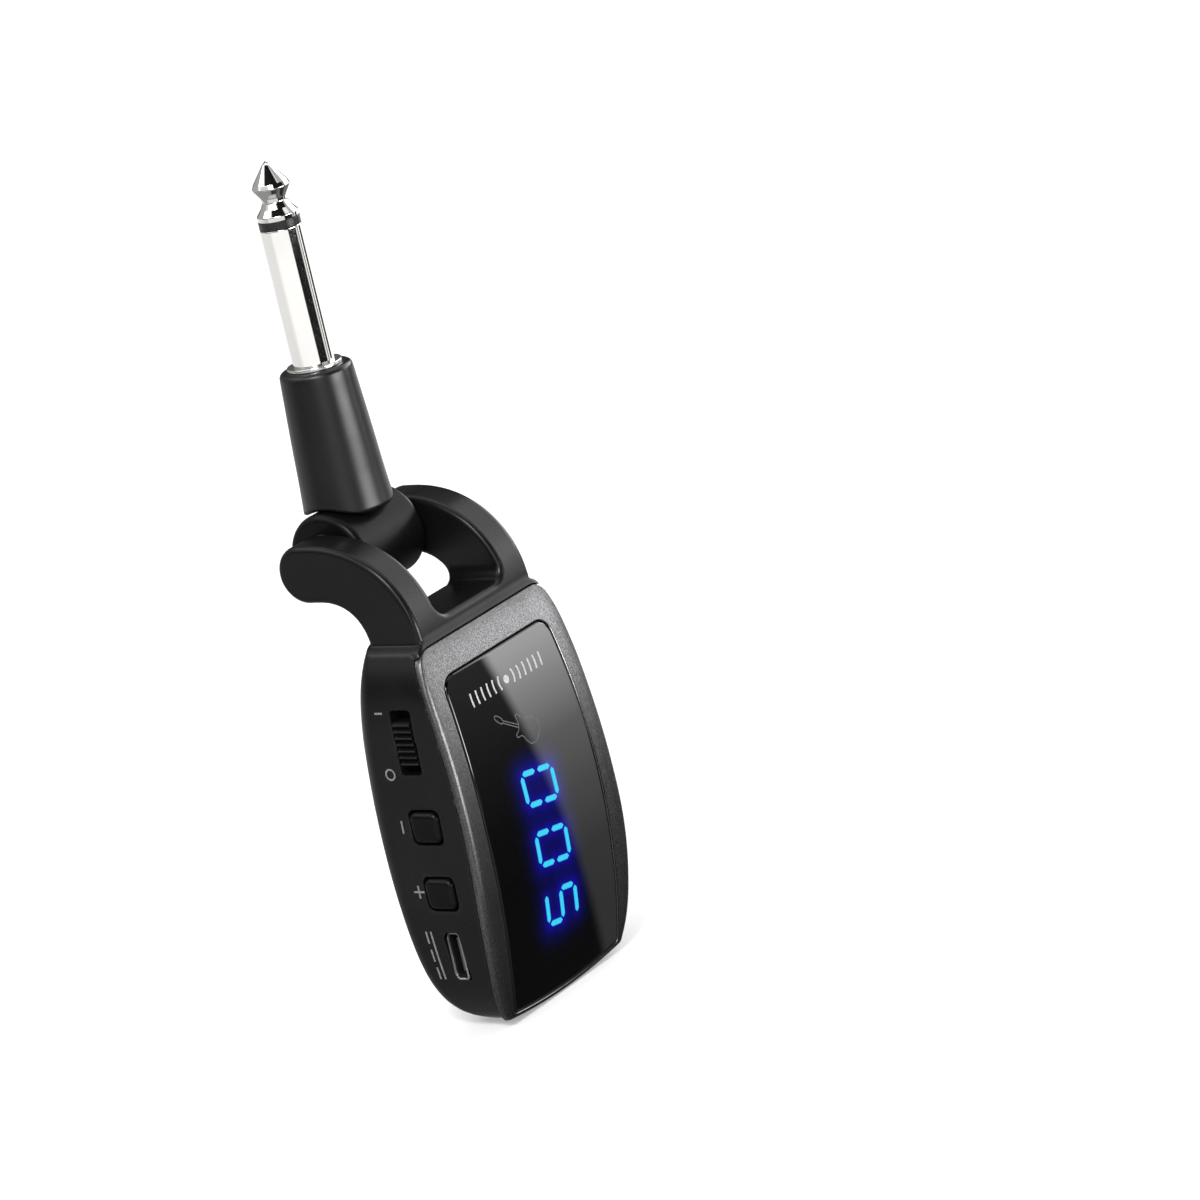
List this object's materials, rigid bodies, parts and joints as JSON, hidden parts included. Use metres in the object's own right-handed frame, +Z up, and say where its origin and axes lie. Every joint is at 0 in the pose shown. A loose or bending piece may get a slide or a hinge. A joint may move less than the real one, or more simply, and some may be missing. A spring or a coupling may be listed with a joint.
{
  "type": "wireless guitar transmitter",
  "caption": "Pocket radio pack with a folding quarter-inch jack plug on a forked hinge, a bowed dark display window, and a slide switch, two buttons and a charging port on one side.",
  "frame": {"origin": "the middle of the footprint, at the height of the lowest point of the pack", "axes": "+Z up along the plug, towards its tip; -Y out of the display; +Y to the back; X along the fold axis, controls on -X"},
  "size_m": [0.0389, 0.0304, 0.1319],
  "materials": {
    "housing_black": "satin",
    "plate_grey": "satin",
    "window_black": "gloss",
    "module_black": "matte",
    "display_segments": "gloss",
    "button_black": "satin",
    "slider_black": "matte",
    "hinge_black": "satin",
    "collar_black": "satin",
    "plug_nickel": "polished",
    "ring_black": "satin",
    "port_steel": "satin",
    "tongue_black": "matte",
    "print_grey": "matte",
    "board_green": "satin",
    "chip_black": "matte",
    "antenna_white": "matte",
    "shield_tin": "satin",
    "cell_foil": "satin",
    "pad_foam": "matte",
    "inner_steel": "satin",
    "inner_brass": "satin",
    "washer_black": "matte",
    "cable_grey": "matte"
  },
  "bodies": {
    "pack": {"rear_housing": "housing_black", "front_cover": "plate_grey", "display_lens": "window_black", "display_reflector": "module_black", "main_board": "board_green", "battery_cell": "cell_foil", "battery_pad": "pad_foam", "radio_shield": "shield_tin", "radio_chip": "chip_black", "antenna_chip": "antenna_white", "controller_chip": "chip_black", "charger_chip": "chip_black", "switch_base": "inner_steel", "minus_tact_switch": "inner_steel", "plus_tact_switch": "inner_steel", "usb_shell": "port_steel", "usb_tongue": "tongue_black", "friction_washer_left": "washer_black", "friction_washer_right": "washer_black", "cable_in_yoke": "cable_grey", "board_screw_1": "inner_steel", "board_screw_2": "inner_steel", "board_screw_3": "inner_steel", "board_screw_4": "inner_steel"},
    "plug_arm": {"hinge_barrel": "hinge_black", "hinge_pin_left": "inner_steel", "hinge_pin_right": "inner_steel", "plug_collar": "collar_black", "plug_flange": "plug_nickel", "plug_sleeve": "plug_nickel", "plug_insulator": "ring_black", "plug_tip": "plug_nickel", "tip_rod": "inner_brass", "tip_lug": "inner_brass", "sleeve_lug": "inner_brass", "cable_in_barrel": "cable_grey"},
    "switch_knob": {"switch_slider": "slider_black"},
    "minus_key": {"minus_button": "button_black", "minus_tact_plunger": "chip_black"},
    "plus_key": {"plus_button": "button_black", "plus_tact_plunger": "chip_black"}
  },
  "joints": [
    {"name": "plug_fold", "type": "hinge", "parent": "pack", "child": "plug_arm", "pos_m": [0, 0.00805, 0.0721], "axis": [1, 0, 0], "range_deg": [-175, 95]},
    {"name": "switch_slide", "type": "slide", "parent": "pack", "child": "switch_knob", "axis": [0, 0, 1], "range_m": [-0.001, 0.001]},
    {"name": "minus_press", "type": "slide", "parent": "pack", "child": "minus_key", "axis": [1, 0, 0], "range_m": [0, 0.0005], "stiffness_N_per_m": 400, "springref_m": -0.0005},
    {"name": "plus_press", "type": "slide", "parent": "pack", "child": "plus_key", "axis": [1, 0, 0], "range_m": [0, 0.0005], "stiffness_N_per_m": 400, "springref_m": -0.0005}
  ]
}
